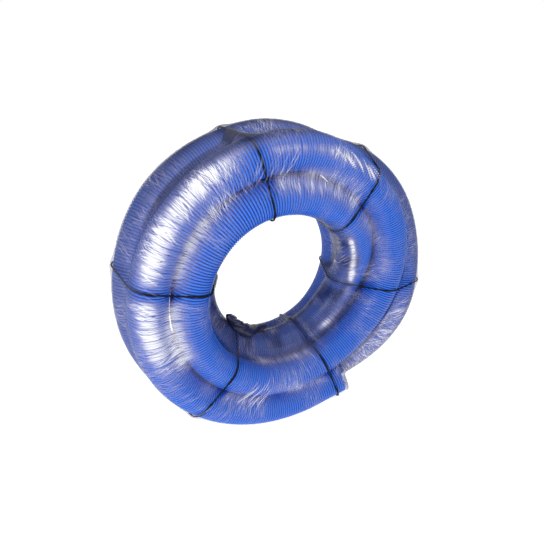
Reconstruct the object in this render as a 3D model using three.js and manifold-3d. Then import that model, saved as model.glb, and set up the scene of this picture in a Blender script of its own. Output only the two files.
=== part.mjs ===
// A coil of ribbed pool vacuum hose, held by six cord ties and wrapped in clear stretch film.
// Millimetres, +Z up. The coil stands on its rim with its axis along Y and its front at -Y.
// A place in the coil is given by its angle about that axis, measured from +X towards +Z.
import * as THREE from 'three';
import Module from 'manifold-3d';
import { mergeVertices } from 'three/addons/utils/BufferGeometryUtils.js';

const wasm = await Module();
wasm.setup();

// The hose
const hoseBore = 38;
const wallThickness = 1.75;
const ribHeight = 1.75;
const grooveDiameter = hoseBore + 2 * wallThickness;
const ribDiameter = grooveDiameter + 2 * ribHeight;
const ribPitch = 30; // the real ribs are 3.4 apart, and about one in nine is modelled
const hoseSides = 8;

// How it is coiled: three layers from front to back, with turns one pitch apart
const turnGap = 2;
const innerTurnRadius = 106;
const coilTurns = 5.16;
const frontEndDegrees = 283;

// The cord ties, each in the plane of the coil's section at its angle
const cordDiameter = 2.4;
const cordSides = 6;
const cordClearance = 0.3;
const knotDiameter = 5.4;
const tailLength = 6;
const tieDegrees = new Map([
  ['tie_top', 105],
  ['tie_upper_right', 52.5],
  ['tie_right', -7.5],
  ['tie_lower_right', -67.5],
  ['tie_lower_left', -135],
  ['tie_left', 165],
]);

// The stretch film, one skin of several laps. It sinks into the valleys between the turns, and is
// held up by the ties.
const filmThickness = 1;
const filmClearance = 2.4;
const tieClearance = 1.4;
const valleySoftness = 8;
const deepestValley = 10;
const filmStepDegrees = 7.5;
const filmSeamDegrees = -116.25;
const filmSeamWidth = 4;
const flatDepth = 2;
const settleHeight = 3.5;

const fullTurn = 2 * Math.PI;
const slopeStep = 0.001; // turns
const lengthDivisions = 3000;
const gapStepsPerTurn = 180;
const hullPoints = 24;
const filmPoints = 32;
const sinkSteps = 8;
const pitch = ribDiameter + turnGap;
const frontEndAngle = THREE.MathUtils.degToRad(frontEndDegrees);
const filmStep = THREE.MathUtils.degToRad(filmStepDegrees);
const filmSeamAngle = THREE.MathUtils.degToRad(filmSeamDegrees);

// Each crossover moves the hose over to its next place: `by` pitches, between two counts of turns
// from the front end. It winds inwards at the front, out again in the middle, and in at the back.
// Late in the third turn it comes forward, into the place the first turn has left, and goes back.
const outwardCrossovers = [
  { from: 0, to: 0.2, by: 0.06 },
  { from: 0.53, to: 0.67, by: -0.3 },
  { from: 0.68, to: 0.97, by: -0.76 },
  { from: 1, to: 1.2, by: 0.06 },
  { from: 1.43, to: 1.85, by: -0.5 },
  { from: 2.04, to: 2.96, by: 0.17 },
  { from: 2.37, to: 2.73, by: 1.5 },
  { from: 2.33, to: 2.92, by: 0.48 },
  { from: 2.56, to: 3.3, by: -0.48 },
  { from: 3.38, to: 3.5, by: -0.17 },
  { from: 4.19, to: 4.5, by: -1 },
  { from: 4.9, to: coilTurns, by: -0.2 },
];
const backwardCrossovers = [
  { from: 1.65, to: 1.9, by: 1 },
  { from: 2.61, to: 2.92, by: -0.84 },
  { from: 2.82, to: 2.99, by: 0.84 },
  { from: 3.23, to: 3.62, by: 1 },
];
const firstPlace = { out: 1.44, back: -1 };

function moved(crossovers, turn) {
  let sum = 0;
  for (const { from, to, by } of crossovers) {
    sum += by * THREE.MathUtils.smoothstep(turn, from, to);
  }
  return sum;
}

// Past its first and last turn the hose leaves the coil along a straight tangent.
function hosePlace(turn) {
  const inCoil = THREE.MathUtils.clamp(turn, 0, coilTurns);
  const out = firstPlace.out + moved(outwardCrossovers, inCoil);
  const back = firstPlace.back + moved(backwardCrossovers, inCoil);
  const onArc = innerTurnRadius + out * pitch;
  return { radius: onArc / Math.cos(fullTurn * (turn - inCoil)), depth: back * pitch };
}

function atSection(angle, radius, depth) {
  return new THREE.Vector3(radius * Math.cos(angle), depth, radius * Math.sin(angle));
}

function hoseAngle(turn) {
  return frontEndAngle - fullTurn * turn;
}

function hosePoint(turn) {
  const { radius, depth } = hosePlace(turn);
  return atSection(hoseAngle(turn), radius, depth);
}

// The straight run at each end is one hose diameter long.
const frontEndTurn = -Math.atan(ribDiameter / hosePlace(0).radius) / fullTurn;
const backEndTurn = coilTurns + Math.atan(ribDiameter / hosePlace(coilTurns).radius) / fullTurn;

class HoseRoute extends THREE.Curve {
  getPoint(t) {
    return hosePoint(THREE.MathUtils.lerp(frontEndTurn, backEndTurn, t));
  }
}

function ringsToGeometry(rings, closed, reversed) {
  const count = rings[0].length;
  const positions = rings.flat().flatMap((point) => point.toArray());
  const index = [];
  const spans = closed ? rings.length : rings.length - 1;
  for (let i = 0; i < spans; i += 1) {
    for (let j = 0; j < count; j += 1) {
      const a = i * count + j;
      const b = i * count + ((j + 1) % count);
      const c = ((i + 1) % rings.length) * count + j;
      const d = ((i + 1) % rings.length) * count + ((j + 1) % count);
      index.push(...(reversed ? [a, c, b, b, c, d] : [a, b, c, b, d, c]));
    }
  }
  const geometry = new THREE.BufferGeometry();
  geometry.setAttribute('position', new THREE.Float32BufferAttribute(positions, 3));
  geometry.setIndex(index);
  return geometry;
}

// A tube with walls: two skins of rings, the inner one facing inwards, and a flat rim at each end.
function walledTube(outerRings, innerRings) {
  const count = outerRings[0].length;
  const outer = ringsToGeometry(outerRings, false, false);
  const inner = ringsToGeometry(innerRings, false, true);
  const offset = outer.getAttribute('position').count;
  const positions = [...outer.getAttribute('position').array, ...inner.getAttribute('position').array];
  const index = [...outer.getIndex().array];
  for (const vertex of inner.getIndex().array) {
    index.push(vertex + offset);
  }
  const lastOuter = (outerRings.length - 1) * count;
  const lastInner = offset + (innerRings.length - 1) * count;
  for (let j = 0; j < count; j += 1) {
    const k = (j + 1) % count;
    index.push(j, offset + j, k, k, offset + j, offset + k);
    index.push(lastOuter + j, lastOuter + k, lastInner + j, lastOuter + k, lastInner + k, lastInner + j);
  }
  const geometry = new THREE.BufferGeometry();
  geometry.setAttribute('position', new THREE.Float32BufferAttribute(positions, 3));
  geometry.setIndex(index);
  return geometry;
}

function ringAcross(centre, tangent, radius, sides) {
  const outwards = new THREE.Vector3(centre.x, 0, centre.z).normalize();
  const u = outwards.addScaledVector(tangent, -outwards.dot(tangent)).normalize();
  const v = new THREE.Vector3().crossVectors(tangent, u);
  const ring = [];
  for (let j = 0; j < sides; j += 1) {
    const a = ((j + 0.5) / sides) * fullTurn;
    const point = centre.clone().addScaledVector(u, radius * Math.cos(a));
    ring.push(point.addScaledVector(v, radius * Math.sin(a)));
  }
  return ring;
}

// Two points count as neighbours along the same turn when they are under a third of a turn apart.
function leastTurnDistance() {
  const points = [];
  const steps = Math.round((backEndTurn - frontEndTurn) * gapStepsPerTurn);
  for (let i = 0; i <= steps; i += 1) {
    points.push(hosePoint(THREE.MathUtils.lerp(frontEndTurn, backEndTurn, i / steps)));
  }
  let least = Infinity;
  for (let i = 0; i < points.length; i += 1) {
    for (let j = i + gapStepsPerTurn / 3; j < points.length; j += 1) {
      least = Math.min(least, points[i].distanceTo(points[j]));
    }
  }
  return least;
}

function makeHose() {
  const route = new HoseRoute();
  route.arcLengthDivisions = lengthDivisions;
  const length = route.getLength();
  const ribs = Math.round(length / ribPitch);
  const outerRings = [];
  const boreRings = [];
  for (let i = 0; i <= 2 * ribs; i += 1) {
    const centre = route.getPointAt(i / (2 * ribs));
    const tangent = route.getTangentAt(i / (2 * ribs));
    const onCrest = i % 2 === 0;
    outerRings.push(ringAcross(centre, tangent, (onCrest ? ribDiameter : grooveDiameter) / 2, hoseSides));
    if (onCrest) {
      boreRings.push(ringAcross(centre, tangent, hoseBore / 2, hoseSides));
    }
  }
  console.log(`hose ${(length / 1000).toFixed(2)} m long with ${ribs} ribs`);
  console.log(`least gap between turns ${(leastTurnDistance() - ribDiameter).toFixed(2)} mm`);
  const material = new THREE.MeshStandardMaterial({ color: 0x2450d8, roughness: 0.38, metalness: 0 });
  return new THREE.Mesh(walledTube(outerRings, boreRings), material);
}

// Every run of the hose that crosses the coil's section at an angle, as a circle in that section.
// A run that crosses it on the slant is wider there. For `past` radians beyond a cut end, the end
// itself still counts.
function runsAt(angle, past) {
  const runs = [];
  const firstTurn = (frontEndAngle - angle) / fullTurn;
  const margin = past / fullTurn;
  for (let turn = firstTurn - 2; turn <= backEndTurn + margin; turn += 1) {
    if (turn >= frontEndTurn - margin) {
      const nearest = THREE.MathUtils.clamp(turn, frontEndTurn, backEndTurn);
      const { radius, depth } = hosePlace(nearest);
      const along = hosePoint(nearest + slopeStep).sub(hosePoint(nearest - slopeStep)).normalize();
      const straightThrough = new THREE.Vector3(0, 1, 0).cross(atSection(hoseAngle(nearest), 1, 0));
      const slant = Math.abs(along.dot(straightThrough));
      runs.push({ centre: new THREE.Vector2(radius, depth), radius: ribDiameter / 2 / slant });
    }
  }
  return runs;
}

// The outline drawn tight round all the runs of one section, a given offset outside them: each
// corner is where two neighbouring straight edges meet, and every edge rests on the furthest run.
function tightOutline(runs, offset) {
  const turnedBy = fullTurn / hullPoints;
  const edges = [];
  for (let j = 0; j < hullPoints; j += 1) {
    const facing = new THREE.Vector2(Math.cos(j * turnedBy), Math.sin(j * turnedBy));
    const reaches = runs.map((run) => run.centre.dot(facing) + run.radius + offset);
    edges.push({ facing, distance: Math.max(...reaches) });
  }
  return edges.map(({ facing, distance }, j) => {
    const next = edges[(j + 1) % hullPoints].distance;
    const slide = (next - distance * Math.cos(turnedBy)) / Math.sin(turnedBy);
    const sideways = new THREE.Vector2(-facing.y, facing.x);
    return facing.clone().multiplyScalar(distance).addScaledVector(sideways, slide);
  });
}

function toManifold(geometry) {
  const bare = geometry.clone();
  bare.deleteAttribute('normal');
  bare.deleteAttribute('uv');
  const merged = mergeVertices(bare, 1e-4);
  return new wasm.Manifold(new wasm.Mesh({
    numProp: 3,
    vertProperties: new Float32Array(merged.getAttribute('position').array),
    triVerts: new Uint32Array(merged.getIndex().array),
  }));
}

function fromManifold(solid) {
  const mesh = solid.getMesh();
  const geometry = new THREE.BufferGeometry();
  geometry.setAttribute('position', new THREE.BufferAttribute(mesh.vertProperties, 3));
  geometry.setIndex(new THREE.BufferAttribute(mesh.triVerts, 1));
  return geometry;
}

// The knot lies on the coil's back, halfway along the longest straight stretch of its cord there,
// and hangs into the valley between two turns.
function knotSpot(outline) {
  let spot = null;
  for (let j = 0; j < outline.length; j += 1) {
    const next = outline[(j + 1) % outline.length];
    const stretch = next.clone().sub(outline[j]);
    const middle = outline[j].clone().lerp(next, 0.5);
    const isBehind = middle.y > 0 && stretch.x < 0;
    if (isBehind && (!spot || stretch.length() > spot.length)) {
      const inwards = new THREE.Vector2(-stretch.y, stretch.x).normalize();
      spot = { middle, length: stretch.length(), inwards };
    }
  }
  return spot;
}

function makeTie(angle) {
  const outline = tightOutline(runsAt(angle, 0), cordClearance + cordDiameter / 2);
  const centre = new THREE.Box2().setFromPoints(outline).getCenter(new THREE.Vector2());
  const across = atSection(angle + Math.PI / 2, 1, 0);
  const rings = outline.map((point) => {
    const outwards = point.clone().sub(centre).normalize();
    const ring = [];
    for (let j = 0; j < cordSides; j += 1) {
      const a = (j / cordSides) * fullTurn;
      const inPlane = point.clone().addScaledVector(outwards, (cordDiameter / 2) * Math.cos(a));
      const offPlane = (cordDiameter / 2) * Math.sin(a);
      ring.push(atSection(angle, inPlane.x, inPlane.y).addScaledVector(across, offPlane));
    }
    return ring;
  });
  const loop = toManifold(ringsToGeometry(rings, true, true));
  const { middle, inwards } = knotSpot(outline);
  const knotPlace = middle.addScaledVector(inwards, (knotDiameter - cordDiameter) / 2);
  const knotCentre = atSection(angle, knotPlace.x, knotPlace.y);
  const knot = new THREE.SphereGeometry(knotDiameter / 2, 8, 6);
  knot.translate(knotCentre.x, knotCentre.y, knotCentre.z);
  const tails = new THREE.CylinderGeometry(cordDiameter / 2, cordDiameter / 2, 2 * tailLength, cordSides);
  tails.applyQuaternion(new THREE.Quaternion().setFromUnitVectors(new THREE.Vector3(0, 1, 0), across));
  const tailPlace = knotPlace.clone().addScaledVector(inwards, (knotDiameter - cordDiameter) / 2);
  const tailCentre = atSection(angle, tailPlace.x, tailPlace.y);
  tails.translate(tailCentre.x, tailCentre.y, tailCentre.z);
  const tied = loop.add(toManifold(knot)).add(toManifold(tails));
  const material = new THREE.MeshStandardMaterial({ color: 0x101012, roughness: 0.8, metalness: 0 });
  return new THREE.Mesh(fromManifold(tied), material);
}

// Evenly spaced points round a closed outline, each with the direction outwards there. They start
// where the outline crosses the coil's middle plane beside the hole.
function evenPoints(outline, count) {
  const nextTo = (j) => outline[(j + 1) % outline.length];
  const last = outline.findIndex((corner, j) => corner.y > 0 && nextTo(j).y <= 0);
  const share = outline[last].y / (outline[last].y - nextTo(last).y);
  const start = outline[last].clone().lerp(nextTo(last), share);
  const corners = [start, ...outline.slice(last + 1), ...outline.slice(0, last + 1), start];
  const along = [0];
  for (let j = 1; j < corners.length; j += 1) {
    along.push(along[j - 1] + corners[j].distanceTo(corners[j - 1]));
  }
  const points = [];
  let edge = 1;
  for (let i = 0; i < count; i += 1) {
    const at = (i / count) * along[along.length - 1];
    while (along[edge] < at) {
      edge += 1;
    }
    const onEdge = (at - along[edge - 1]) / (along[edge] - along[edge - 1]);
    points.push(corners[edge - 1].clone().lerp(corners[edge], onEdge));
  }
  return points.map((point, i) => {
    const ahead = points[(i + 1) % count];
    const behind = points[(i + count - 1) % count];
    const facing = new THREE.Vector2(ahead.y - behind.y, behind.x - ahead.x).normalize();
    return { point, facing };
  });
}

// How far a point of the film sinks between the runs. The closeness of all the runs is added up,
// which rounds the bottom of a valley, and no valley gets deeper than the deepest.
function sinkDepth(runs, point, facing, clearance) {
  let sunk = 0;
  for (let i = 0; i < sinkSteps; i += 1) {
    const place = point.clone().addScaledVector(facing, -sunk);
    let closeness = 0;
    for (const run of runs) {
      closeness += Math.exp((run.radius - place.distanceTo(run.centre)) / valleySoftness);
    }
    sunk = Math.max(0, sunk - valleySoftness * Math.log(closeness) - clearance);
  }
  return deepestValley * (1 - Math.exp(-sunk / deepestValley));
}

// One section of the film's inner side: how high it lies over the runs, and how far it sinks
// between them. At a tie it lies over the cord and stays up. For one step past a cut end the film
// still lies as if the hose went on.
function filmSection(angle) {
  const runs = runsAt(angle, filmStep);
  const onTie = [...tieDegrees.values()].some((degrees) => {
    const apart = angle - THREE.MathUtils.degToRad(degrees);
    return Math.cos(apart) > Math.cos(filmStep / 2);
  });
  const clearance = onTie ? cordClearance + cordDiameter + tieClearance : filmClearance;
  const places = evenPoints(tightOutline(runs, clearance), filmPoints);
  return places.map(({ point, facing }) => {
    const sunk = onTie ? 0 : sinkDepth(runs, point, facing, clearance);
    return { point, facing, sunk };
  });
}

const lowestSection = filmSection(-Math.PI / 2);
const coilRadius = filmThickness + Math.max(...lowestSection.map(({ point }) => point.x));
const restHeight = flatDepth - coilRadius;

// A ring of the film, a given height over its inner side. Where it comes near the floor the film
// lies flat on it.
function filmRing(angle, height) {
  const lowest = restHeight + filmThickness - height;
  return filmSection(angle).map(({ point, facing, sunk }) => {
    const taut = point.clone().addScaledVector(facing, height);
    const place = atSection(angle, taut.x, taut.y);
    if (place.z < lowest + settleHeight) {
      place.z = lowest;
      return place;
    }
    const laid = taut.addScaledVector(facing, -sunk);
    return atSection(angle, laid.x, laid.y);
  });
}

function makeFilm() {
  const outerRings = [];
  const innerRings = [];
  const steps = Math.round(fullTurn / filmStep);
  const seamHalf = Math.asin(filmSeamWidth / 2 / coilRadius);
  const angles = [filmSeamAngle + seamHalf];
  for (let i = 1; i <= steps; i += 1) {
    angles.push(filmSeamAngle - filmStep / 2 + i * filmStep);
  }
  angles.push(filmSeamAngle - seamHalf + fullTurn);
  for (const angle of angles) {
    outerRings.push(filmRing(angle, filmThickness));
    innerRings.push(filmRing(angle, 0));
  }
  const material = new THREE.MeshStandardMaterial({ color: 0xdfe2f2, roughness: 0.18, metalness: 0 });
  material.transparent = true;
  material.opacity = 0.22;
  return new THREE.Mesh(walledTube(outerRings, innerRings), material);
}

const coil = new THREE.Group();

const hose = makeHose();
hose.name = 'hose';
coil.add(hose);

for (const [name, degrees] of tieDegrees) {
  const tie = makeTie(THREE.MathUtils.degToRad(degrees));
  tie.name = name;
  coil.add(tie);
}

const film = makeFilm();
film.name = 'stretch_film';
coil.add(film);

// The finished coil stands on its flat, with the middle of its outline over the origin.
const bounds = new THREE.Box3().setFromObject(coil);
const boundsCentre = bounds.getCenter(new THREE.Vector3());
coil.position.set(-boundsCentre.x, -boundsCentre.y, -bounds.min.z);
coil.updateMatrixWorld(true);

export default coil;
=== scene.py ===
# %% [markdown]
# # A coil of ribbed pool vacuum hose in stretch film
# This lesson dresses a plain model of a coiled swimming pool hose until it looks like the real
# thing. The coil has three kinds of piece. One long ribbed hose is wound into a thick ring. Six
# loops of black twine hold its turns together. Clear stretch film is pulled tight round
# everything, and its creases catch the light.
#
# The plain model gives every size. All lengths are in metres and Z points up.

# %% Load the plain model
import math

import bpy
import numpy as np
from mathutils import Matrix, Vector


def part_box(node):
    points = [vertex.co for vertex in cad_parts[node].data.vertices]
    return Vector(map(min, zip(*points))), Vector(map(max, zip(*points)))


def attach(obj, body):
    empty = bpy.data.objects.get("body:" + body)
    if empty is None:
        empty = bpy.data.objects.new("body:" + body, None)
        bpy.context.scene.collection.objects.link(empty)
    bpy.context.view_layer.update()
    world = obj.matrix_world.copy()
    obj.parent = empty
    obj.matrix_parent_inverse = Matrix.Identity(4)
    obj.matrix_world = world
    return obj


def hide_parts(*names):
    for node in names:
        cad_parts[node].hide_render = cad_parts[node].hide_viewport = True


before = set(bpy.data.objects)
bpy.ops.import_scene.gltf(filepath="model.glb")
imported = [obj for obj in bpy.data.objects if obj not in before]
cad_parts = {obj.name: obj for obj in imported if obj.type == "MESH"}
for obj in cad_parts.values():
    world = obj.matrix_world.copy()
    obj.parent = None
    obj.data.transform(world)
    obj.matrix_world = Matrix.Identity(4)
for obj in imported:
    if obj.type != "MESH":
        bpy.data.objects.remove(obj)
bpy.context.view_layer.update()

print("nodes:", sorted(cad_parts))

# %% [markdown]
# ## The hose's route
# Everything else in the lesson follows the hose, so its route comes first. A route can be drawn
# by hand as a curve, but a coil is easier to describe in numbers: how far out, how far back and
# at what angle the hose is after each part of a turn. The hose runs in three layers. Where it
# changes its place in the stack it crosses over smoothly, and each crossover is one line of the
# tables below. Distances out and back are counted in pitches, the space from one turn to the next.

# %% Describe the winding
HOSE_BORE = 0.038
HOSE_DIAMETER = 0.045
GROOVE_DIAMETER = 0.0415
PITCH = HOSE_DIAMETER + 0.002
INNER_TURN_RADIUS = 0.106
COIL_TURNS = 5.16
FRONT_END_ANGLE = math.radians(283)
FRONT_END_OUT = 1.44
FRONT_END_BACK = -1
ROUTE_POINTS = 24001
FULL_TURN = 2 * math.pi

OUTWARD_CROSSOVERS = [  # from turn, to turn, by pitches
    (0, 0.2, 0.06),
    (0.53, 0.67, -0.3),
    (0.68, 0.97, -0.76),
    (1, 1.2, 0.06),
    (1.43, 1.85, -0.5),
    (2.04, 2.96, 0.17),
    (2.37, 2.73, 1.5),
    (2.33, 2.92, 0.48),
    (2.56, 3.3, -0.48),
    (3.38, 3.5, -0.17),
    (4.19, 4.5, -1),
    (4.9, COIL_TURNS, -0.2),
]
BACKWARD_CROSSOVERS = [(1.65, 1.9, 1), (2.61, 2.92, -0.84), (2.82, 2.99, 0.84), (3.23, 3.62, 1)]


def smooth(t):
    """Rises gently from 0 at nought to 1 at one."""
    return t * t * (3 - 2 * t)


def moved(crossovers, turn):
    """How many pitches these crossovers have moved the hose after some turns."""
    total = np.zeros_like(turn)
    for start, end, by in crossovers:
        total += by * smooth(np.clip((turn - start) / (end - start), 0, 1))
    return total


def hose_place(turn):
    """How far the hose's centre is from the coil's axis, and how far back, after some turns."""
    wound = np.clip(turn, 0, COIL_TURNS)
    out = FRONT_END_OUT + moved(OUTWARD_CROSSOVERS, wound)
    back = FRONT_END_BACK + moved(BACKWARD_CROSSOVERS, wound)
    radius = (INNER_TURN_RADIUS + out * PITCH) / np.cos(FULL_TURN * (turn - wound))
    return radius, back * PITCH


def hose_point(turn):
    """The hose's centre about the coil's centre. The turns run clockwise, seen from the front."""
    radius, depth = hose_place(turn)
    angle = FRONT_END_ANGLE - FULL_TURN * turn
    return np.stack([radius * np.cos(angle), depth, radius * np.sin(angle)], axis=-1)


def end_run(turn):
    """The part of a turn that a straight end as long as the hose is wide takes up."""
    radius, _ = hose_place(np.array(float(turn)))
    return math.atan(HOSE_DIAMETER / float(radius)) / FULL_TURN


FIRST_TURN = -end_run(0)
LAST_TURN = COIL_TURNS + end_run(COIL_TURNS)

route_turns = np.linspace(FIRST_TURN, LAST_TURN, ROUTE_POINTS)
route = hose_point(route_turns)
route_length = np.concatenate([[0], np.cumsum(np.linalg.norm(np.diff(route, axis=0), axis=1))])
HOSE_LENGTH = float(route_length[-1])

hose_low, hose_high = (np.array(corner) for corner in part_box("hose"))
COIL_CENTRE = (hose_low + hose_high) / 2 - (route.min(axis=0) + route.max(axis=0)) / 2
print("hose length:", round(HOSE_LENGTH, 3), "coil centre:", COIL_CENTRE.round(4))

# %% [markdown]
# ## The camera
# The camera comes early, so every later step can be judged in its picture. It stands to the
# coil's left and looks down at it. A camera that is aimed by a target point is easier to move
# than one that is aimed by angles, so a short helper turns it.

# %% Place the camera
CAMERA_AZIMUTH = math.radians(25.5)
CAMERA_ELEVATION = math.radians(25.8)
CAMERA_DISTANCE = 0.626

toward_camera = np.array([
    -math.sin(CAMERA_AZIMUTH) * math.cos(CAMERA_ELEVATION),
    -math.cos(CAMERA_AZIMUTH) * math.cos(CAMERA_ELEVATION),
    math.sin(CAMERA_ELEVATION),
])


def aim(thing, place, target):
    """Move a camera or a lamp to a place, and turn it towards a target point."""
    thing.location = place
    thing.rotation_euler = (Vector(target) - Vector(place)).to_track_quat("-Z", "Y").to_euler()


camera_data = bpy.data.cameras.new("camera")
camera_data.lens = 30.7
camera_data.sensor_width = 36
camera_data.shift_x = -0.0025
camera_data.shift_y = 0.0105
camera = bpy.data.objects.new("camera", camera_data)
bpy.context.scene.collection.objects.link(camera)
aim(camera, COIL_CENTRE + CAMERA_DISTANCE * toward_camera, COIL_CENTRE)
bpy.context.scene.camera = camera
print("camera at", [round(c, 3) for c in camera.location])

# %% [markdown]
# ## Mesh helpers
# The hose, the twine and the film are all rings of points joined into a skin. Blender can sweep a
# curve, but these skins have thousands of small ribs, strands and creases, and a table of points
# gives each one its exact place. The helper joins rings into four-sided faces, and also lays the
# skin out flat as a UV map, so that its finish can be stored in an image later.

# %% Join rings into a skin
ROW_FILL = 0.97


def ring_faces(rings, sides, first=0, closed=False, reverse=False):
    """Faces between rings of points, numbered ring by ring from `first`."""
    spans = rings if closed else rings - 1
    i, j = np.meshgrid(np.arange(spans), np.arange(sides), indexing="ij")
    i, j = i.ravel(), j.ravel()
    k, m = (j + 1) % sides, (i + 1) % rings
    quads = np.stack([i * sides + j, i * sides + k, m * sides + k, m * sides + j], axis=1) + first
    return quads[:, ::-1] if reverse else quads


def strip_map(rings, sides, rows, low, high, closed=False, reverse=False):
    """UV corners for ring_faces: the skin's length is cut into rows, stacked from low to high."""
    spans = rings if closed else rings - 1
    i, j = np.meshgrid(np.arange(spans), np.arange(sides), indexing="ij")
    i, j = i.ravel(), j.ravel()
    per_row = math.ceil(spans / rows)
    row = i // per_row
    start, end = (i - row * per_row) / per_row, (i + 1 - row * per_row) / per_row
    tall = (high - low) / rows
    v0 = low + (row + ROW_FILL * j / sides) * tall
    v1 = low + (row + ROW_FILL * (j + 1) / sides) * tall
    corners = np.stack([
        np.stack([start, v0], axis=1),
        np.stack([start, v1], axis=1),
        np.stack([end, v1], axis=1),
        np.stack([end, v0], axis=1),
    ], axis=1)
    return corners[:, ::-1] if reverse else corners


def skin(name, points, faces, uvs=None, values=None):
    """A smooth mesh object of four-sided faces, with a UV map and stored values for its points."""
    mesh = bpy.data.meshes.new(name)
    mesh.vertices.add(len(points))
    mesh.vertices.foreach_set("co", np.asarray(points, dtype=np.float32).ravel())
    mesh.loops.add(faces.size)
    mesh.loops.foreach_set("vertex_index", faces.astype(np.int32).ravel())
    mesh.polygons.add(len(faces))
    mesh.polygons.foreach_set("loop_start", np.arange(0, faces.size, 4, dtype=np.int32))
    mesh.polygons.foreach_set("use_smooth", np.ones(len(faces), dtype=bool))
    if uvs is not None:
        layer = mesh.uv_layers.new(name="OFBake")
        layer.data.foreach_set("uv", uvs.astype(np.float32).ravel())
    for title, numbers in (values or {}).items():
        single = numbers.ndim == 1
        attribute = mesh.attributes.new(title, "FLOAT" if single else "FLOAT_VECTOR", "POINT")
        attribute.data.foreach_set(
            "value" if single else "vector", numbers.astype(np.float32).ravel()
        )
    mesh.update(calc_edges=True)
    mesh.validate()
    piece = bpy.data.objects.new(name, mesh)
    bpy.context.scene.collection.objects.link(piece)
    return piece


def from_axis(points):
    """Directions away from the coil's axis."""
    flat = points * np.array([1, 0, 1])
    return flat / np.linalg.norm(flat, axis=1, keepdims=True)


print("helpers: ring_faces, strip_map, skin, from_axis")

# %% [markdown]
# ## The ribbed hose
# A pool hose is made by winding a warm ribbon of plastic round a rod, so its wall is a stack of
# fine rounded ribs with narrow grooves between them. The ribs let it bend tightly without
# folding. They could be faked with a bump map, but they break the outline and hold real shadows,
# so each rib is modelled here with six rings. The bore is smooth, and both ends are plain cuts.

# %% Model the ribs
RIB_PITCH = 0.0034
RIB_SIDES = 40
SMALL_STEP = 1e-4
RIB_PROFILE = np.array([  # how far along the rib, and how high
    [0.0, 0.0],
    [0.12, 0.62],
    [0.27, 0.95],
    [0.5, 1.0],
    [0.73, 0.95],
    [0.88, 0.62],
])


def turns_at(length):
    """The turns that the hose has made at these lengths from its front end."""
    return np.interp(length, route_length, route_turns)


def tube_rings(length, radius, sides):
    """Rings across the hose at these lengths from its front end."""
    centre = hose_point(turns_at(length))
    ahead = hose_point(turns_at(length + SMALL_STEP))
    behind = hose_point(turns_at(length - SMALL_STEP))
    along = ahead - behind
    along /= np.linalg.norm(along, axis=1, keepdims=True)
    out = from_axis(centre)
    out -= (out * along).sum(axis=1, keepdims=True) * along
    out /= np.linalg.norm(out, axis=1, keepdims=True)
    side = np.cross(along, out)
    turn = np.arange(sides) / sides * FULL_TURN
    ring = out[:, None] * np.cos(turn)[None, :, None] + side[:, None] * np.sin(turn)[None, :, None]
    return centre[:, None] + ring * radius[:, None, None]


rib_count = round(HOSE_LENGTH / RIB_PITCH)
rib_length = HOSE_LENGTH / rib_count
ring_length = (np.arange(rib_count)[:, None] + RIB_PROFILE[:, 0]).ravel() * rib_length
ring_length = np.append(ring_length, HOSE_LENGTH)
rib_height = np.append(np.tile(RIB_PROFILE[:, 1], rib_count), 0)
ring_radius = GROOVE_DIAMETER / 2 + rib_height * (HOSE_DIAMETER - GROOVE_DIAMETER) / 2
outer = tube_rings(ring_length, ring_radius, RIB_SIDES)

bore_length = np.linspace(0, HOSE_LENGTH, rib_count // 2 + 1)
bore = tube_rings(bore_length, np.full(len(bore_length), HOSE_BORE / 2), RIB_SIDES)
print("ribs:", rib_count, "rings:", len(outer))

# %% Join the hose
around = np.arange(RIB_SIDES)
following = (around + 1) % RIB_SIDES
bore_first = len(outer) * RIB_SIDES
last_outer, last_bore = (len(outer) - 1) * RIB_SIDES, bore_first + (len(bore) - 1) * RIB_SIDES
front_rim = np.stack([around, bore_first + around, bore_first + following, following], axis=1)
back_rim = np.stack([
    last_outer + around, last_outer + following, last_bore + following, last_bore + around,
], axis=1)
rim_corner = np.tile([[0.0, 0.995], [0.0, 1.0], [0.005, 1.0], [0.005, 0.995]], (RIB_SIDES, 1, 1))

hose = skin(
    "ribbed_hose",
    np.concatenate([outer.reshape(-1, 3), bore.reshape(-1, 3)]) + COIL_CENTRE,
    np.concatenate([
        ring_faces(len(outer), RIB_SIDES),
        ring_faces(len(bore), RIB_SIDES, bore_first, reverse=True),
        front_rim,
        back_rim,
    ]),
    np.concatenate([
        strip_map(len(outer), RIB_SIDES, 9, 0.0, 0.9),
        strip_map(len(bore), RIB_SIDES, 2, 0.9, 0.99, reverse=True),
        rim_corner,
        rim_corner,
    ]),
    # The bore's number is 0.3, so its inside gets painted shade from the colour ramp.
    {"rib_shade": np.concatenate([np.repeat(rib_height, RIB_SIDES), np.full(bore[..., 0].size, 0.3)])},
)
print("hose faces:", len(hose.data.polygons))

# %% [markdown]
# ## Blue plastic
# Pool hose is soft, evenly coloured plastic with a satin gloss. Shade is painted into its colour:
# it is darker down in the grooves and paler on the tops of the ribs, and the bore is painted dark
# too. A number stored on each point says how high on a rib it lies, so the painted shade follows
# the real ribs and not a picture of them. A faint noise breaks up the gloss.

# %% Colour the hose


def new_material(name):
    """A fresh material, with its nodes, its links and its shader."""
    material = bpy.data.materials.new(name)
    material.use_nodes = True
    nodes, links = material.node_tree.nodes, material.node_tree.links
    return material, nodes, links, nodes["Principled BSDF"]


def stored_number(nodes, title):
    """The number that a mesh stores on its points under a title."""
    node = nodes.new("ShaderNodeAttribute")
    node.attribute_name = title
    return node.outputs["Fac"]


def ramp(nodes, links, source, stops):
    """A smooth change from one colour or grey to the next, driven by a number."""
    node = nodes.new("ShaderNodeValToRGB")
    elements = node.color_ramp.elements
    while len(elements) < len(stops):
        elements.new(0.5)
    for element, (place, colour) in zip(elements, stops):
        element.position = place
        element.color = (*colour, 1) if hasattr(colour, "__len__") else (colour,) * 3 + (1,)
    links.new(source, node.inputs["Fac"])
    return node.outputs["Color"]


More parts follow.
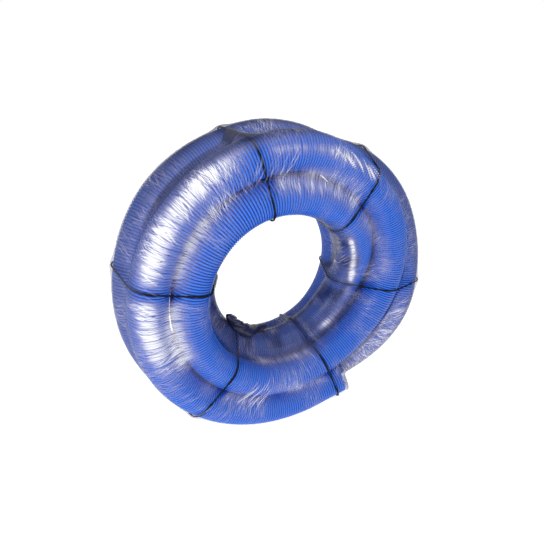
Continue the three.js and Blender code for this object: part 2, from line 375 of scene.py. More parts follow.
def noise(nodes, scale, detail):
    """Soft random grey spots, about `scale` of them across the piece."""
    node = nodes.new("ShaderNodeTexNoise")
    node.inputs["Scale"].default_value = scale
    node.inputs["Detail"].default_value = detail
    return node.outputs["Fac"]


hose_plastic, nodes, links, shader = new_material("blue_hose_plastic")
# Painted shade: the base colour darkens from the tops of the ribs down into the grooves.
groove_shaded_colour = ramp(nodes, links, stored_number(nodes, "rib_shade"), [
    (0.0, (0.0, 0.008, 0.12)),
    (0.5, (0.003, 0.035, 0.34)),
    (1.0, (0.018, 0.165, 0.78)),
])
links.new(groove_shaded_colour, shader.inputs["Base Color"])
gloss = ramp(nodes, links, noise(nodes, 60, 4), [(0.3, 0.34), (0.7, 0.46)])
links.new(gloss, shader.inputs["Roughness"])
shader.inputs["IOR"].default_value = 1.5
hose.data.materials.append(hose_plastic)
print("hose material:", hose_plastic.name)

# %% [markdown]
# ## The hose in place of the plain one
# The hose replaces the plain one, which is hidden, and is attached to the root body. Its route is
# the same formula again, at even steps.

PATH_POINTS = 400

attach(hose, "root")
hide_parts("hose")
hose_path = hose_point(turns_at(np.linspace(0, HOSE_LENGTH, PATH_POINTS))) + COIL_CENTRE
print("hose declared,", round(HOSE_LENGTH, 2), "m")

# %% [markdown]
# ## The coil's outline at each angle
# Twine and film both go round the outside of the whole bundle, so both need its outline: cut the
# ring across at some angle, and stretch a rubber band round the cut hoses. The band touches
# whichever hose reaches furthest in each direction. That gives the outline without any simulation.

# %% Stretch a band round the hoses
OUTLINE_DIRECTIONS = 240
WHOLE_TURNS = range(-2, 7)


def runs_at(angles, past_end=0.0):
    """Where each run of the hose crosses the section at each angle, and how wide it is there."""
    runs = []
    ghost = past_end / FULL_TURN
    for whole in WHOLE_TURNS:
        turn = (FRONT_END_ANGLE - angles) / FULL_TURN + whole
        present = (turn >= FIRST_TURN - ghost) & (turn <= LAST_TURN + ghost)
        turn = np.clip(turn, FIRST_TURN, LAST_TURN)
        radius, depth = hose_place(turn)
        ahead, behind = hose_place(turn + SMALL_STEP), hose_place(turn - SMALL_STEP)
        climb = np.hypot(ahead[0] - behind[0], ahead[1] - behind[1]) / (2 * SMALL_STEP)
        slant = radius * FULL_TURN / np.hypot(radius * FULL_TURN, climb)
        runs.append((radius, depth, HOSE_DIAMETER / 2 / slant, present))
    return [np.stack(values, axis=1) for values in zip(*runs)]


def band(angles, count, gap, past_end=0.0):
    """Evenly spaced points on a band round the hoses, in each section, and its outward normals.

    They start where the band crosses the coil's middle plane beside the hole.
    """
    radius, depth, half_width, present = runs_at(angles, past_end)
    turn = math.pi / 2 + np.arange(OUTLINE_DIRECTIONS + 1) / OUTLINE_DIRECTIONS * FULL_TURN
    facing = np.stack([np.cos(turn), np.sin(turn)], axis=1)
    centre = np.stack([radius, depth], axis=-1)
    reach = centre @ facing.T + half_width[..., None]
    reach = np.where(present[..., None], reach, -1.0)
    best = reach.argmax(axis=1)
    rows = np.arange(len(angles))[:, None]
    points = centre[rows, best] + (half_width[rows, best] + gap)[..., None] * facing
    step = np.linalg.norm(np.diff(points, axis=1), axis=2)
    along = np.concatenate([np.zeros((len(angles), 1)), np.cumsum(step, axis=1)], axis=1)
    even = np.empty((len(angles), count, 2))
    for k in range(len(angles)):
        first_below = np.argmax(points[k, :, 1] <= 0)
        high, low = points[k, first_below - 1, 1], points[k, first_below, 1]
        start = along[k, first_below - 1] + step[k, first_below - 1] * high / (high - low)
        at = start + np.arange(count) / count * along[k, -1]
        even[k, :, 0] = np.interp(at, along[k], points[k, :, 0], period=along[k, -1])
        even[k, :, 1] = np.interp(at, along[k], points[k, :, 1], period=along[k, -1])
    tangent = np.roll(even, -1, axis=1) - np.roll(even, 1, axis=1)
    normal = np.stack([tangent[..., 1], -tangent[..., 0]], axis=-1)
    normal /= np.linalg.norm(normal, axis=2, keepdims=True)
    return even, normal, along[:, -1]


def in_coil(angles, points):
    """Section points, out and back, as points about the coil's centre."""
    angle = angles[:, None]
    return np.stack([
        points[..., 0] * np.cos(angle),
        points[..., 1],
        points[..., 0] * np.sin(angle),
    ], axis=-1)


def apart(angle, other):
    """The difference between two angles, between minus and plus half a turn."""
    return (angle - other + math.pi) % FULL_TURN - math.pi


_, _, bundle_girth = band(np.radians([180.0]), 60, 0.0)
print("girth of the bundle:", round(float(bundle_girth[0]), 3))

# %% [markdown]
# ## Black twine
# Six lengths of thin black twine are passed through the ring, pulled tight and knotted behind.
# Pulled twine runs straight from hose to hose, so it follows the same rubber band. It is laid from
# three strands, and the lay is modelled as a slowly turning three-lobed section. The knot is one
# small tangle of the same twine with two short tails.

# %% Lay the twine
TWINE_DIAMETER = 0.0024
TWINE_LAY = 0.007
TWINE_SIDES = 12
TWINE_STRANDS = 3
STRAND_HEIGHT = 0.16


def even_steps(points, step, closed):
    """Points at even steps of about this length along a line."""
    if closed:
        points = np.concatenate([points, points[:1]])
    along = np.concatenate([[0], np.cumsum(np.linalg.norm(np.diff(points, axis=0), axis=1))])
    at = np.linspace(0, along[-1], max(8, round(along[-1] / step)) + 1)
    even = np.stack([np.interp(at, along, points[:, axis]) for axis in range(3)], axis=1)
    return even[:-1] if closed else even


def twine(points, closed, reference):
    """Rings of laid twine along a line. `reference` is a direction the line never follows."""
    if closed:
        wrapped = np.concatenate([points[-1:], points, points[:1]])
        along = wrapped[2:] - wrapped[:-2]
    else:
        along = np.gradient(points, axis=0)
    along /= np.linalg.norm(along, axis=1, keepdims=True)
    side = np.cross(along, np.broadcast_to(reference, along.shape))
    side /= np.linalg.norm(side, axis=1, keepdims=True)
    up = np.cross(side, along)
    step = np.linalg.norm(np.diff(points, axis=0), axis=1)
    length = np.concatenate([[0], np.cumsum(step)])
    lay = TWINE_LAY
    if closed:
        total = length[-1] + np.linalg.norm(points[0] - points[-1])
        lay = total / round(total / TWINE_LAY)
    turn = np.arange(TWINE_SIDES) / TWINE_SIDES * FULL_TURN
    strand_turn = length[:, None] / lay * FULL_TURN / TWINE_STRANDS
    lobes = 1 - STRAND_HEIGHT + STRAND_HEIGHT * np.cos(TWINE_STRANDS * (turn[None] - strand_turn))
    reach = TWINE_DIAMETER / 2 * lobes
    ring = side[:, None] * np.cos(turn)[None, :, None] + up[:, None] * np.sin(turn)[None, :, None]
    return points[:, None] + ring * reach[..., None]


print("twine:", TWINE_DIAMETER, "m thick")

# %% Tie the knot
KNOT_DEPTH = 0.003
KNOT_LOOP = 0.0011
KNOT_HEIGHT = 0.0009
KNOT_OPENING = 0.35
FIRST_TAIL = 0.005
LAST_TAIL = 0.004
TAIL_DROOP = 0.003
BACKWARD = np.array([0, 1, 0])


def knot_line(section, outward, sideways):
    """The line of a knot with two tails, in the valley at the back of a tie."""
    behind = section[section[:, 1] > section[:, 1].max() - 0.002]
    place = outward * behind[:, 0].mean() + BACKWARD * (section[:, 1].max() - KNOT_DEPTH)
    t = np.linspace(KNOT_OPENING, FULL_TURN - KNOT_OPENING, 90)
    wide = KNOT_LOOP * (2 + np.cos(3 * t))
    tangle = (
        place
        + outward * (wide * np.cos(2 * t))[:, None]
        + sideways * (wide * np.sin(2 * t))[:, None]
        + BACKWARD * (KNOT_HEIGHT * np.sin(3 * t))[:, None]
    )
    tail = np.linspace(1, 0, 14)[:, None]
    droop = BACKWARD * TAIL_DROOP
    first = tangle[0] + sideways * FIRST_TAIL * tail - droop * tail**2 + outward * 0.003 * tail**2
    last = tangle[-1] - sideways * LAST_TAIL * tail[::-1] - droop * tail[::-1] ** 2
    return np.concatenate([first[:-1], tangle, last[1:]])


print("knot loops:", KNOT_LOOP, "m")

# %% Make the six ties
TIE_CLEARANCE = 0.0003
TIE_ANGLES = {
    "tie_top": 105,
    "tie_upper_right": 52.5,
    "tie_right": -7.5,
    "tie_lower_right": -67.5,
    "tie_lower_left": -135,
    "tie_left": 165,
}


def make_tie(name, degrees):
    """One loop of twine round the bundle at an angle, with its knot."""
    angle = np.radians([float(degrees)])
    section, _, _ = band(angle, 200, TIE_CLEARANCE + TWINE_DIAMETER / 2)
    sideways = np.array([-math.sin(angle[0]), 0, math.cos(angle[0])])
    outward = np.array([math.cos(angle[0]), 0, math.sin(angle[0])])
    loop = even_steps(in_coil(angle, section)[0], 0.0009, True)
    rings = twine(loop, True, sideways)
    line = even_steps(knot_line(section[0], outward, sideways), 0.0006, False)
    knot = twine(line, False, np.array([0.3, 0.9, 0.3]))
    piece = skin(
        name + "_twine",
        np.concatenate([rings.reshape(-1, 3), knot.reshape(-1, 3)]) + COIL_CENTRE,
        np.concatenate([
            ring_faces(len(rings), TWINE_SIDES, closed=True),
            ring_faces(len(knot), TWINE_SIDES, len(rings) * TWINE_SIDES),
        ]),
        np.concatenate([
            strip_map(len(rings), TWINE_SIDES, 12, 0.0, 0.9, closed=True),
            strip_map(len(knot), TWINE_SIDES, 2, 0.9, 1.0),
        ]),
    )
    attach(piece, "root")
    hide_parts(name)
    return piece


ties = [make_tie(name, degrees) for name, degrees in TIE_ANGLES.items()]
print("ties:", [tie.name for tie in ties])

# %% [markdown]
# ## Black twine's colour
# The twine is a dull black fibre. A fine noise makes some fibres a little paler than others, and
# a high roughness with hardly any gloss keeps the lamps from turning it grey.

# %% Colour the twine
tie_twine, nodes, links, shader = new_material("black_twine")
fibre = ramp(nodes, links, noise(nodes, 900, 3), [(0.35, 0.002), (0.75, 0.014)])
links.new(fibre, shader.inputs["Base Color"])
shader.inputs["Roughness"].default_value = 0.85
shader.inputs["Specular IOR Level"].default_value = 0.2
for tie in ties:
    tie.data.materials.append(tie_twine)
print("coloured", len(ties), "ties")

# %% [markdown]
# ## Stretch film
# The film is wound through the ring again and again until it covers everything. It bridges from
# one hose to the next, sinks a little way into the valleys, and is held up by the ties like a tent
# by its poles. Cloth simulation would have to stretch it over a five metre hose. It is quicker and
# steadier to start from the rubber band, and to let each point sink towards the hoses until they
# stop it. A soft minimum of the distances to the hoses gives the rounded valleys.

# %% Sink the film into the valleys
FILM_STATIONS = 1440
FILM_POINTS = 300
FILM_GAP = 0.0008
VALLEY_SOFTNESS = 0.008
DEEPEST_VALLEY = 0.010
SINKING_ROUNDS = 10
FURTHEST_SINK = 0.05
PAST_END = math.radians(6.5)

film_angles = np.arange(FILM_STATIONS) / FILM_STATIONS * FULL_TURN


def sunk_band(past_end):
    """The band round the hoses, its normals, how far the film sinks from it, and its length.

    Just past each end of the hose, the film still goes round a hose that goes on for `past_end`.
    """
    outline, normal, girth = band(film_angles, FILM_POINTS, FILM_GAP, past_end)
    radius, depth, half_width, present = runs_at(film_angles, past_end)
    sunk = np.zeros(outline.shape[:2])
    for _ in range(SINKING_ROUNDS):
        at = outline - normal * sunk[..., None]
        nearness = np.zeros_like(sunk)
        for run in range(radius.shape[1]):
            away = np.hypot(at[..., 0] - radius[:, run, None], at[..., 1] - depth[:, run, None])
            near = np.exp(-(away - half_width[:, run, None]) / VALLEY_SOFTNESS)
            nearness += np.where(present[:, run, None], near, 0)
        clearance = -VALLEY_SOFTNESS * np.log(nearness)
        sunk = np.clip(sunk + clearance - FILM_GAP, 0, FURTHEST_SINK)
    return outline, normal, DEEPEST_VALLEY * (1 - np.exp(-sunk / DEEPEST_VALLEY)), girth


outline, outline_normal, sunk, girth = sunk_band(0.0)
bridged, bridged_normal, bridged_sunk, _ = sunk_band(PAST_END)
print("valleys up to", round(float(sunk.max()) * 1000, 1), "mm deep")

# %% Bridge the ends and tent the ties
TENT_WIDTH = 0.008
TENT_RADIUS = 0.16
TENT_CLEARANCE = 0.0006

turn_now = (FRONT_END_ANGLE - film_angles) / FULL_TURN
past = np.zeros(FILM_STATIONS)
for whole in WHOLE_TURNS:
    beyond = np.maximum(FIRST_TURN - (turn_now + whole), (turn_now + whole) - LAST_TURN)
    beyond = beyond * FULL_TURN / PAST_END
    past = np.where((beyond > 0) & (beyond < 1), beyond, past)
bridging = np.where(past > 0, 1 - smooth(past), 0)[:, None]

near_tie = np.zeros(FILM_STATIONS)
for degrees in TIE_ANGLES.values():
    off = apart(film_angles, math.radians(degrees))
    near_tie = np.maximum(near_tie, np.exp(-((off * TENT_RADIUS / TENT_WIDTH) ** 2)))
near_tie = near_tie[:, None]


def lay_film(shape, normal, depth):
    """The film's section, sunk between the ties and lifted over each of them."""
    lifted = depth * (1 - near_tie)
    lift = near_tie * (TWINE_DIAMETER + TENT_CLEARANCE)
    return shape - normal * (lifted - lift)[..., None]


film_section = (
    lay_film(outline, outline_normal, sunk) * (1 - bridging[..., None])
    + lay_film(bridged, bridged_normal, bridged_sunk) * bridging[..., None]
)
film_normal = outline_normal * (1 - bridging[..., None]) + bridged_normal * bridging[..., None]
film_normal /= np.linalg.norm(film_normal, axis=2, keepdims=True)
print("film section points:", film_section[..., 0].size)

# %% [markdown]
# ## Folds and haze
# Pulled film gathers into long thin creases along its pull. The pull goes round the bundle, first
# leaning one way and then the other, so the creases cross. The widest ones are real folds in the
# mesh. They are built from noise that is stretched along each lean, and only its peaks are kept,
# because a fold is a sharp line and not a wave.

# %% Fold the film
FOLD_SHARPNESS = 4
random = np.random.default_rng(11)


def stretched_noise(across, along, cells_across, cells_along):
    """Smooth noise between 0 and 1. `across` wraps round after cells_across cells."""
    table = random.random((cells_across, cells_along + 2))
    i, j = np.floor(across).astype(int), np.floor(along).astype(int)
    s, t = across - i, along - j
    s, t = smooth(s), smooth(t)
    i0, i1 = i % cells_across, (i + 1) % cells_across
    j0, j1 = np.clip(j, 0, cells_along), np.clip(j + 1, 0, cells_along + 1)
    low = table[i0, j0] * (1 - s) + table[i1, j0] * s
    high = table[i0, j1] * (1 - s) + table[i1, j1] * s
    return low * (1 - t) + high * t


round_ring = np.repeat((film_angles / FULL_TURN)[:, None], FILM_POINTS, axis=1)
round_bundle = np.repeat((np.arange(FILM_POINTS) / FILM_POINTS)[None], FILM_STATIONS, axis=0)
seam_fade = np.clip(np.minimum(round_bundle, 1 - round_bundle) / 0.04, 0, 1)


def folds(count, lean, length_cells):
    """Sharp ridges round the bundle, about `count` of them in the ring, leaning by some of a turn."""
    across = round_ring * count + lean * round_bundle * count
    wave = stretched_noise(across, round_bundle * length_cells, count, length_cells)
    return (1 - np.abs(2 * wave - 1)) ** FOLD_SHARPNESS


patches = stretched_noise(round_ring * 26, round_bundle * 12, 26, 12)
wide_patches = stretched_noise(round_ring * 9, round_bundle * 6, 9, 6)
fold = np.maximum(folds(300, 0.075, 14), folds(260, -0.085, 12))
fold = np.clip(fold * (0.3 + 0.9 * patches), 0, 1) * seam_fade
print("folds drawn over", fold.size, "points")

# %% [markdown]
# ## Haze and painted highlight bands
# Where the film spans a valley, its layers lie loose and look hazy, so the depth of each valley
# gives some of the haze. The rest is painted highlight: long bright bands where the lamps'
# reflections lie on the film. Each band follows the ring at a place in the section, so it is listed
# by two angles and by how far out and how far back it lies at each of them. It could be painted by
# hand, but numbers are easy to move.

# %% Spread the haze and the painted highlights
FULL_HAZE_DEPTH = 0.008
PAINTED_HIGHLIGHT_BANDS = [  # from and to angle, how far out at each, how far back at each, size, strength
    (98, 212, 0.198, 0.174, -0.066, -0.070, 0.0135, 0.80),
    (112, 214, 0.164, 0.142, -0.068, -0.068, 0.0110, 0.50),
    (46, 112, 0.173, 0.189, -0.070, -0.070, 0.0080, 0.45),
    (40, 112, 0.130, 0.152, -0.068, -0.068, 0.0120, 0.50),
    (168, 208, 0.163, 0.160, -0.060, -0.060, 0.0080, 0.60),
    (54, 92, 0.157, 0.158, -0.060, -0.060, 0.0080, 0.60),
    (-6, 54, 0.138, 0.125, -0.064, -0.068, 0.0100, 0.35),
    (6, 46, 0.093, 0.100, -0.048, -0.066, 0.0045, 0.75),
    (-62, 20, 0.101, 0.094, -0.025, -0.051, 0.0050, 0.90),
    (-72, -8, 0.199, 0.184, -0.030, -0.052, 0.0180, 0.35),
    (-124, -62, 0.104, 0.104, -0.040, -0.050, 0.0090, 0.35),
    (-112, -58, 0.123, 0.152, -0.070, -0.066, 0.0100, 0.35),
    (-150, -112, 0.160, 0.150, -0.060, -0.070, 0.0120, 0.25),
]


def window(t):
    """1 at nought, and falling smoothly to 0 at one."""
    return smooth(np.clip(1 - np.abs(t), 0, 1))


valley = np.clip(sunk / FULL_HAZE_DEPTH, 0, 1)
haze_and_highlight = 0.02 + valley * (0.04 + 0.12 * patches) + 0.06 * wide_patches * patches
# Each band adds a painted highlight to the haze number, which the film's colour turns white.
for start, end, out_there, out_here, back_there, back_here, size, strength in PAINTED_HIGHLIGHT_BANDS:
    middle, half = math.radians((start + end) / 2), math.radians((end - start) / 2)
    off = apart(film_angles, middle) / half
    share = (off + 1) / 2
    radius = out_there + (out_here - out_there) * share
    depth = back_there + (back_here - back_there) * share
    away = np.hypot(film_section[..., 0] - radius[:, None], film_section[..., 1] - depth[:, None])
    there = np.clip(3 * window(off), 0, 1)[:, None] * np.exp(-((away / size) ** 2))
    haze_and_highlight += strength * there * (0.85 + 0.25 * patches)
haze_and_highlight = np.clip(haze_and_highlight * (1 - near_tie), 0, 1)
print("mean haze:", round(float(haze_and_highlight.mean()), 3))

# %% [markdown]
# ## Pleats
# In some places the film has gathered into a sheaf of parallel pleats. They are folded a little in
# the mesh, and their brightness is a painted highlight. Each sheaf is one line of the table below:
# its middle, how wide it is, how many pleats it has, and how they lean.
# The pleats themselves are scattered at random round that middle, so that no two look the same.

# %% Gather the pleats
PLEAT_WIDTH = 0.0006
HIGHEST_FOLD = 1.6
PLEATS = [  # angle, out, back, spread in degrees, count, half length, lean, strength
    (-112, 0.139, -0.069, 7, 18, 0.024, -3.0, 1.0),
    (63, 0.178, -0.068, 10, 26, 0.010, 9.0, 0.9),
    (106, 0.199, -0.030, 8, 16, 0.020, 5.0, 0.9),
    (-28, 0.190, -0.050, 14, 26, 0.018, 4.0, 0.6),
    (14, 0.090, -0.010, 8, 8, 0.018, 5.0, 0.9),
    (-88, 0.115, -0.062, 20, 24, 0.014, 1.0, 0.6),
    (-140, 0.180, -0.062, 18, 40, 0.016, -2.0, 0.5),
    (85, 0.140, -0.068, 24, 36, 0.013, 2.0, 0.35),
    (30, 0.094, -0.040, 16, 24, 0.014, 7.0, 0.6),
    (100, 0.170, -0.068, 8, 20, 0.014, -4.0, 0.6),
    (150, 0.185, -0.068, 40, 50, 0.014, -2.5, 0.4),
]

along_bundle = round_bundle * girth[:, None]
pleat_and_glint = np.zeros_like(haze_and_highlight)
for angle, radius, depth, spread, count, half_length, lean, strength in PLEATS:
    station = round((angle % 360) / 360 * FILM_STATIONS)
    away = np.hypot(film_section[station, :, 0] - radius, film_section[station, :, 1] - depth)
    place = along_bundle[station, away.argmin()]
    for _ in range(count):
        middle = math.radians(angle + random.uniform(-spread, spread))
        up = along_bundle - place - random.uniform(-0.6, 0.6) * half_length
        tilt = lean * random.uniform(0.7, 1.3)
        off = apart(film_angles[:, None], middle + up * tilt) * radius / math.hypot(1, tilt * radius)
        line = np.exp(-((off / PLEAT_WIDTH) ** 2))
        line = line * window(up / half_length / random.uniform(0.6, 1.1))
        pleat_and_glint = np.maximum(pleat_and_glint, strength * random.uniform(0.5, 1) * line)
# The pleats fold the mesh a little here, and later they are also painted bright as highlights.
fold = np.clip(fold + pleat_and_glint, 0, HIGHEST_FOLD)
print("pleated points:", int((pleat_and_glint > 0.1).sum()))

# %% Finish the film's shape
FOLD_HEIGHT = 0.00045
MEAN_FOLD = 0.25
FLOOR_GAP = 0.0004

film_section = film_section + film_normal * ((fold - MEAN_FOLD) * FOLD_HEIGHT)[..., None]
film_points = in_coil(film_angles, film_section) + COIL_CENTRE
film_points[..., 2] = np.maximum(film_points[..., 2], FLOOR_GAP)
print("film reaches up to", round(float(film_points[..., 2].max()), 3), "m")

# %% [markdown]
# ## Streaks and shade
# Fine creases come and go over the film, so a wide noise says how strongly their painted glints
# show at each place. Round the rim, in the hole and in the deepest valleys the film turns away from
# the lamps and lies in shade, so a second number says how much shade is painted there. The material
# uses both.

# %% Say where the film has painted glints or painted shade
RIM_RADIUS = 0.190
HOLE_RADIUS = 0.108
EDGE_WIDTH = 0.012
RIM_TOP_ANGLE = 1.6
RIM_TOP_SPREAD = 1.2


def leaning(lean):
    """Places for stretched noise, with its stretch leaning by so many radians a metre."""
    angle = film_angles[:, None] + lean * along_bundle
    return np.stack([np.cos(angle), np.sin(angle), along_bundle], axis=-1).reshape(-1, 3)


glint_streaks = stretched_noise(round_ring * 40, round_bundle * 18, 40, 18) * (1 - near_tie)
on_rim = np.clip((film_section[..., 0] - RIM_RADIUS) / EDGE_WIDTH, 0, 1)
in_hole = np.clip((HOLE_RADIUS - film_section[..., 0]) / EDGE_WIDTH, 0, 1)
deepest = np.clip((sunk - 0.0085) / 0.0015, 0, 1)
rim_shade = 0.6 + 0.6 * window(apart(film_angles, RIM_TOP_ANGLE) / RIM_TOP_SPREAD)
mottled = 0.5 + 0.5 * stretched_noise(round_ring * 60, round_bundle * 20, 60, 20)
# Painted shade: darker and less clear round the rim, most at its top, in the hole and in the deepest
# valleys.
painted_shade = 0.8 * deepest + rim_shade[:, None] * on_rim + 1.1 * in_hole * mottled
print("mean dullness:", round(float(painted_shade.mean()), 3))

# %% [markdown]
# ## The film's tail
# The last lap ends in a twisted tail that is tucked into the hole, low on the left. It is a short
# tapering tube that follows the hole's wall, and a few waves of random height crumple its sides.
# It belongs to the film, so both skins are joined into one piece.

# %% Bunch the film's tail
TAIL_RINGS = 120
TAIL_SIDES = 28
TAIL_RADIUS = 0.0075
TAIL_OUT = 0.0795
TAIL_BACK = -0.018
CRUMPLE_HEIGHT = 0.13

tail_place = np.linspace(0, 1, TAIL_RINGS)
tail_angle = np.radians(-158 + 62 * tail_place)
tail_round = np.arange(TAIL_SIDES) / TAIL_SIDES * FULL_TURN
tail_out = TAIL_OUT - 0.0015 * np.sin(7 * tail_place)
tail_back = TAIL_BACK + 0.024 * tail_place + 0.003 * np.sin(9 * tail_place)
lumps = sum(
    height * np.sin((3 + 2 * k) * tail_round[None] + 11 * twist * tail_place[:, None] * (k + 1) + start)
    for k, (height, twist, start, _) in enumerate(random.normal(size=(5, 4)))
)
taper = np.sin(math.pi * np.clip(tail_place * 0.96 + 0.02, 0, 1))[:, None] ** 0.5
tail_radius = TAIL_RADIUS * taper * (1 + CRUMPLE_HEIGHT * lumps)
tail_section = np.stack([
    tail_out[:, None] + tail_radius * np.cos(tail_round),
    tail_back[:, None] + 1.3 * tail_radius * np.sin(tail_round),
], axis=-1)
tail_points = in_coil(tail_angle, tail_section).reshape(-1, 3) + COIL_CENTRE
print("tail points:", len(tail_points))

# %% Join the film
in_tail = np.zeros(len(tail_points))

film = skin(
    "stretch_film_skin",
    np.concatenate([film_points.reshape(-1, 3), tail_points]),
    np.concatenate([
        ring_faces(FILM_STATIONS, FILM_POINTS, closed=True, reverse=True),
        ring_faces(TAIL_RINGS, TAIL_SIDES, film_points[..., 0].size, reverse=True),
    ]),
    np.concatenate([
        strip_map(FILM_STATIONS, FILM_POINTS, 2, 0.0, 0.97, closed=True, reverse=True),
        strip_map(TAIL_RINGS, TAIL_SIDES, 1, 0.97, 1.0, reverse=True),
    ]),
    {
        "haze_and_highlight": np.concatenate([haze_and_highlight.ravel(), in_tail + 0.2]),
        "pleat_and_glint": np.concatenate([pleat_and_glint.ravel(), in_tail]),
        "glint_streaks": np.concatenate([glint_streaks.ravel(), in_tail + 0.7]),
        # The tail gets full painted shade, as it lies in shadow at the bottom of the hole.
        "painted_shade": np.concatenate([painted_shade.ravel(), in_tail + 2]),
        "lean_one": np.concatenate([leaning(1.9), tail_points * 8]),
        "lean_two": np.concatenate([leaning(-1.6), tail_points * 9]),
        "upright": np.concatenate([leaning(0.2), tail_points * 7]),
    },
)
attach(film, "root")
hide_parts("stretch_film")
print("film faces:", len(film.data.polygons))

# %% [markdown]
# ## Clear film
# One layer of stretch film is almost invisible. A dozen layers make a haze, and each crease in
# them catches the light as a bright line. The finest creases are too thin for the mesh, so they
# are drawn in the material as painted glints: noise is looked up in stretched places, and a narrow
# ramp keeps only the line where it passes its middle value.

# %% Draw the fine creases
clear_film, nodes, links, shader = new_material("clear_stretch_film")


def calculate(operation, first, second):
    """One sum of two numbers, where each is a plain value or another node's output."""
    node = nodes.new("ShaderNodeMath")
    node.operation = operation
    for socket, value in zip(node.inputs, (first, second)):
        if isinstance(value, (int, float)):
            socket.default_value = value
        else:
            links.new(value, socket)
    return node.outputs["Value"]


def crease_lines(title, across, along, width):
    """Thin bright lines along the stretch of the places stored under a title."""
    place = nodes.new("ShaderNodeAttribute")
    place.attribute_name = title
    stretch = nodes.new("ShaderNodeVectorMath")
    stretch.operation = "MULTIPLY"
    stretch.inputs[1].default_value = (across, across, along)
    links.new(place.outputs["Vector"], stretch.inputs[0])
    texture = nodes.new("ShaderNodeTexNoise")
    texture.inputs["Scale"].default_value = 1
    texture.inputs["Detail"].default_value = 1.5
    links.new(stretch.outputs["Vector"], texture.inputs["Vector"])
    return ramp(nodes, links, texture.outputs["Fac"], [
        (0.5 - width, 0.0), (0.5, 1.0), (0.5 + width, 0.0),
    ])


glint_lines = calculate(
    "MAXIMUM", crease_lines("lean_one", 70, 14, 0.025), crease_lines("lean_two", 62, 14, 0.025)
)
glint_lines = calculate("MAXIMUM", glint_lines, crease_lines("upright", 90, 12, 0.02))
print("crease nodes:", len(nodes))

# %% [markdown]
# ## The film's opacity and colour
# Painted glints on the creases, haze with its painted highlight bands, and painted shade add up to
# the film's opacity, which goes into the shader's own Alpha. The haze is crossed by fine dark gaps
# between the creases, through which the blue hose shows. Thin haze is tinted lavender by the hose
# behind it, and thick haze and the painted highlights are nearly white. Painted shade turns the
# colour dark.

# %% Colour the film
# Painted glints: the crease lines, scaled by the stored streak number, and the pleats make the film
# bright and opaque.
strength = ramp(nodes, links, stored_number(nodes, "glint_streaks"), [(0.3, 0.0), (0.9, 0.5)])
crease_glints = calculate("MULTIPLY", glint_lines, strength)
crease_glints = calculate("MAXIMUM", crease_glints, stored_number(nodes, "pleat_and_glint"))
dark_lines = crease_lines("upright", 110, 10, 0.06)
crossed = calculate("MAXIMUM", dark_lines, crease_lines("lean_two", 50, 16, 0.02))
gaps = calculate("SUBTRACT", 1, calculate("MULTIPLY", crossed, 0.7))
veil = calculate("MULTIPLY", stored_number(nodes, "haze_and_highlight"), gaps)
painted_shade_amount = stored_number(nodes, "painted_shade")
bright = calculate("ADD", veil, crease_glints)
opacity = calculate("ADD", bright, calculate("MULTIPLY", painted_shade_amount, 0.55))
opacity.node.use_clamp = True
links.new(opacity, shader.inputs["Alpha"])
film_colour = ramp(nodes, links, bright, [
    (0.06, (0.3, 0.31, 0.55)),
    (0.4, (0.46, 0.46, 0.72)),
    (0.65, (0.95, 0.95, 1.0)),
])
# Painted shade: the shade number mixes the colour towards a dark blue-black.
painted_shade_mix = nodes.new("ShaderNodeMix")
painted_shade_mix.data_type = "RGBA"
links.new(calculate("SUBTRACT", painted_shade_amount, bright), painted_shade_mix.inputs["Factor"])
links.new(film_colour, painted_shade_mix.inputs["A"])
painted_shade_mix.inputs["B"].default_value = (0.02, 0.022, 0.07, 1)
links.new(painted_shade_mix.outputs["Result"], shader.inputs["Base Color"])
shader.inputs["Roughness"].default_value = 0.28
shader.inputs["IOR"].default_value = 1.5
film.data.materials.append(clear_film)
print("film material nodes:", len(nodes))

# %% [markdown]
# ## Floor and light
# The coil stands on a plain pale floor in soft studio light. One large lamp stands in front and to
# the left, and its long highlight on the film is strengthened by the highlight bands painted into
# the film's colour. A second hangs overhead, a third stands in front, and the pale world fills the
# shadows. The lamps are kept plain, so that each colour renders about as it is written. The floor
# and the world look white only to the camera, by way of the Light Path node, so that the background
# stays white without more light falling on the hose.

# %% Lay the floor
FLOOR_GLOW = 0.45
EXTRA_GLOW_SEEN = 0.4

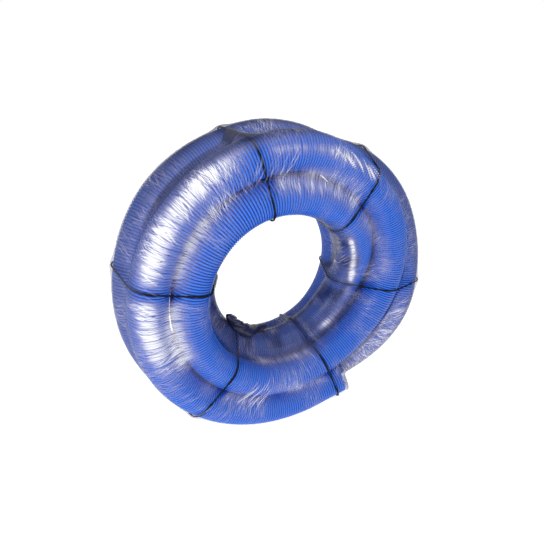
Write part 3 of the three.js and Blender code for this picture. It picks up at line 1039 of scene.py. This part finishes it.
bpy.ops.mesh.primitive_plane_add(size=12)
floor = bpy.context.object
floor.name = "studio_floor"
floor_paint, nodes, links, shader = new_material("pale_floor")
shader.inputs["Base Color"].default_value = (0.9, 0.9, 0.9, 1)
shader.inputs["Roughness"].default_value = 0.9
shader.inputs["Specular IOR Level"].default_value = 0.1
shader.inputs["Emission Color"].default_value = (1, 1, 1, 1)
path = nodes.new("ShaderNodeLightPath")
glow = nodes.new("ShaderNodeMath")
glow.operation = "MULTIPLY_ADD"
links.new(path.outputs["Is Camera Ray"], glow.inputs[0])
glow.inputs[1].default_value = EXTRA_GLOW_SEEN
glow.inputs[2].default_value = FLOOR_GLOW
links.new(glow.outputs["Value"], shader.inputs["Emission Strength"])
floor.data.materials.append(floor_paint)
print("floor:", tuple(round(side, 1) for side in floor.dimensions))

# %% Hang the lamps


def soft_lamp(name, place, size, watts):
    """A wide soft lamp at a place about the coil's centre, aimed at the coil."""
    data = bpy.data.lights.new(name, "AREA")
    data.shape = "RECTANGLE"
    data.size, data.size_y = size
    data.energy = watts
    lamp = bpy.data.objects.new(name, data)
    bpy.context.scene.collection.objects.link(lamp)
    aim(lamp, COIL_CENTRE + np.array(place), COIL_CENTRE)


soft_lamp("left_softbox", (-1.1, -0.9, 0.25), (0.5, 1.2), 10)
soft_lamp("overhead_softbox", (-0.1, -0.3, 1.3), (1.2, 0.9), 6)
soft_lamp("front_softbox", (0.7, -1.5, 0.7), (1.0, 1.0), 4)
print("lamps:", len(bpy.data.lights))

# %% Brighten the world
WORLD_FILL = 0.36

world = bpy.data.worlds.new("studio_world")
bpy.context.scene.world = world
world.use_nodes = True
nodes, links = world.node_tree.nodes, world.node_tree.links
fill = nodes["Background"]
fill.inputs["Color"].default_value = (1, 1, 1, 1)
fill.inputs["Strength"].default_value = WORLD_FILL
backdrop = nodes.new("ShaderNodeBackground")
backdrop.inputs["Color"].default_value = (1, 1, 1, 1)
backdrop.inputs["Strength"].default_value = 1.0
path = nodes.new("ShaderNodeLightPath")
seen = nodes.new("ShaderNodeMixShader")
links.new(path.outputs["Is Camera Ray"], seen.inputs["Fac"])
links.new(fill.outputs["Background"], seen.inputs[1])
links.new(backdrop.outputs["Background"], seen.inputs[2])
links.new(seen.outputs["Shader"], nodes["World Output"].inputs["Surface"])

bpy.context.scene.view_settings.view_transform = "Standard"
print("world fill:", WORLD_FILL)
